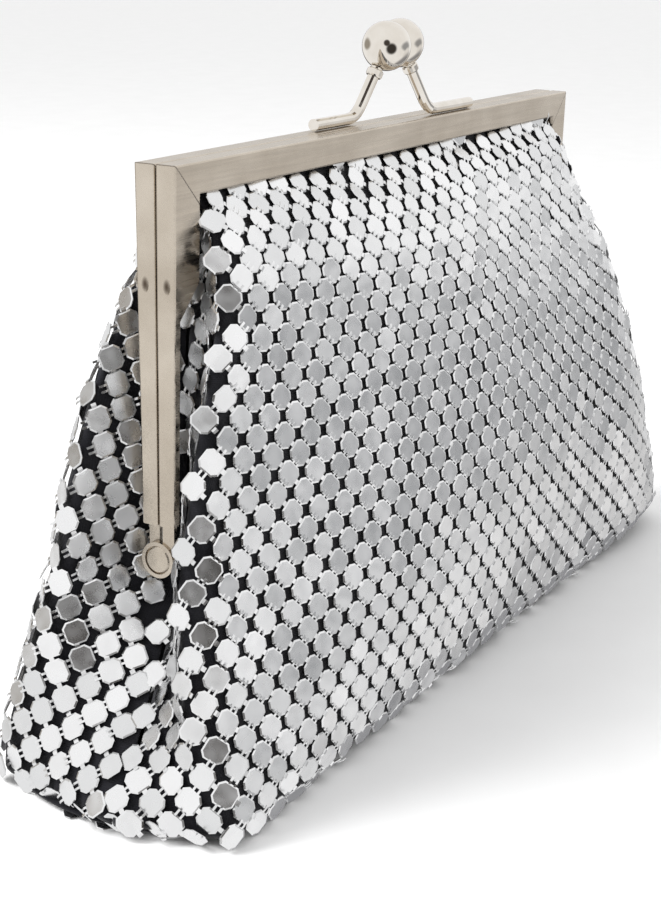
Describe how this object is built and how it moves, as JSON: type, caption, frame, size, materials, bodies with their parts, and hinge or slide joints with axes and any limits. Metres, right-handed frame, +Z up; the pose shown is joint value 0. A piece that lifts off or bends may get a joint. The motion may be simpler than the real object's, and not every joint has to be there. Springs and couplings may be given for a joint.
{
  "type": "evening bag",
  "caption": "Silver plaque-mesh evening bag on a hinged metal channel frame, closed by two crossing snap balls; it stands on its base and the two frame halves open outwards.",
  "frame": {"origin": "centre of the frame's length and depth, on the floor that the bag stands on", "axes": "+X along the frame, -Y the front face, +Z up through the clasp"},
  "size_m": [0.2525, 0.0598, 0.1564],
  "materials": {
    "nickel_plate": "nickel-plated steel, softly brushed, warm grey",
    "polished_nickel": "mirror-polished nickel plate",
    "plaque_mesh": "bright aluminium plaques, smooth and slightly dished",
    "lining_cloth": "black satin-weave lining",
    "paper_cord": "twisted kraft paper cord"
  },
  "bodies": {
    "pouch": {"mesh_pouch": "plaque_mesh", "pouch_lining": "lining_cloth", "left_hinge_rivet": "nickel_plate", "right_hinge_rivet": "nickel_plate"},
    "front_half": {"front_frame": "nickel_plate", "front_mesh_panel": "plaque_mesh", "front_lining": "lining_cloth", "front_channel_cord": "paper_cord", "front_clasp_stem": "polished_nickel", "front_clasp_ball": "polished_nickel", "front_clasp_collar": "polished_nickel"},
    "back_half": {"back_frame": "nickel_plate", "back_mesh_panel": "plaque_mesh", "back_lining": "lining_cloth", "back_channel_cord": "paper_cord", "back_clasp_stem": "polished_nickel", "back_clasp_ball": "polished_nickel", "back_clasp_collar": "polished_nickel"}
  },
  "joints": [
    {"name": "front_half_hinge", "type": "hinge", "parent": "pouch", "child": "front_half", "pos_m": [0, 0, 0.0495], "axis": [1, 0, 0], "range_deg": [0, 30]},
    {"name": "back_half_hinge", "type": "hinge", "parent": "pouch", "child": "back_half", "pos_m": [0, 0, 0.0495], "axis": [-1, 0, 0], "range_deg": [0, 30]}
  ],
  "couplings": [
    {"joint": "back_half_hinge", "follows": "front_half_hinge", "ratio": 1}
  ]
}
